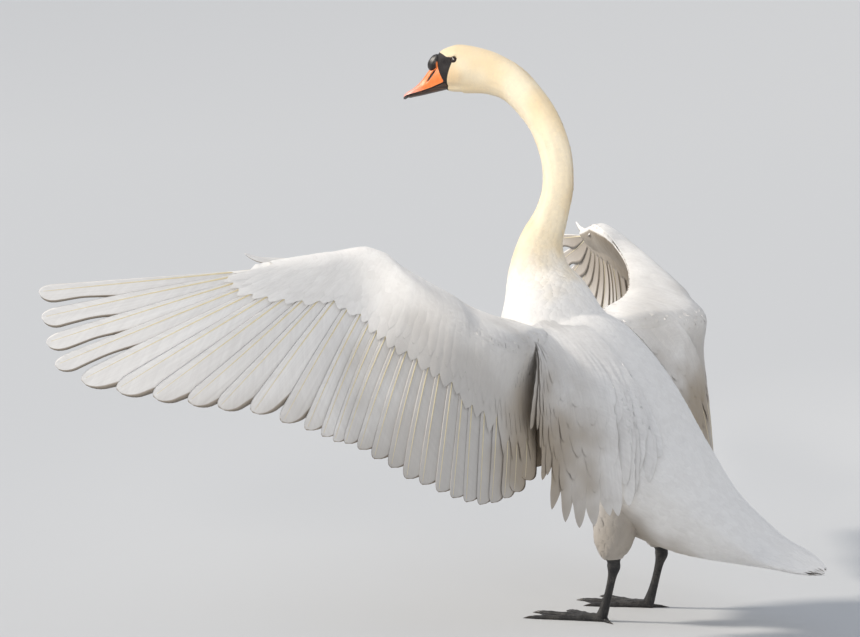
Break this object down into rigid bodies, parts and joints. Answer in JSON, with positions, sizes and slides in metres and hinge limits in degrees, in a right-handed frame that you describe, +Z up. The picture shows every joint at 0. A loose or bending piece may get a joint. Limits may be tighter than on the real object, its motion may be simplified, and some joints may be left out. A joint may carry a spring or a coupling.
{
  "type": "mute swan, life-size still model",
  "caption": "Life-size still mute swan standing on webbed feet with its wings half open, its neck in an S and its head turned slightly left.",
  "frame": {"origin": "middle of the whole bird's box, on the floor it stands on", "axes": "+X to the bird's left, -Y forward (the way the breast faces), +Z up"},
  "size_m": [1.7604, 1.0808, 1.0453],
  "materials": {
    "plumage": "white feathers, cream to ochre on the head and neck",
    "bill": "orange horn, pinker towards the tip",
    "bill_dark": "black bare skin and horn",
    "eye": "dark brown, wet and glossy",
    "leg_skin": "grey-black scaly skin"
  },
  "bodies": {
    "root": {"tail": "plumage", "trunk": "plumage", "neck_lower": "plumage", "neck_upper": "plumage", "head": "plumage", "eye_left": "eye", "eye_right": "eye", "bill_upper": "bill", "bill_lower": "bill_dark", "bill_knob": "bill_dark", "upper_arm_left": "plumage", "forearm_left": "plumage", "hand_left": "plumage", "thumb_left": "plumage", "tertials_left": "plumage", "secondaries_left": "plumage", "primaries_left": "plumage", "shoulder_feathers_left": "plumage", "thigh_left": "plumage", "shank_left": "leg_skin", "foot_left": "leg_skin", "upper_arm_right": "plumage", "forearm_right": "plumage", "hand_right": "plumage", "thumb_right": "plumage", "tertials_right": "plumage", "secondaries_right": "plumage", "primaries_right": "plumage", "shoulder_feathers_right": "plumage", "thigh_right": "plumage", "shank_right": "leg_skin", "foot_right": "leg_skin"}
  },
  "joints": []
}
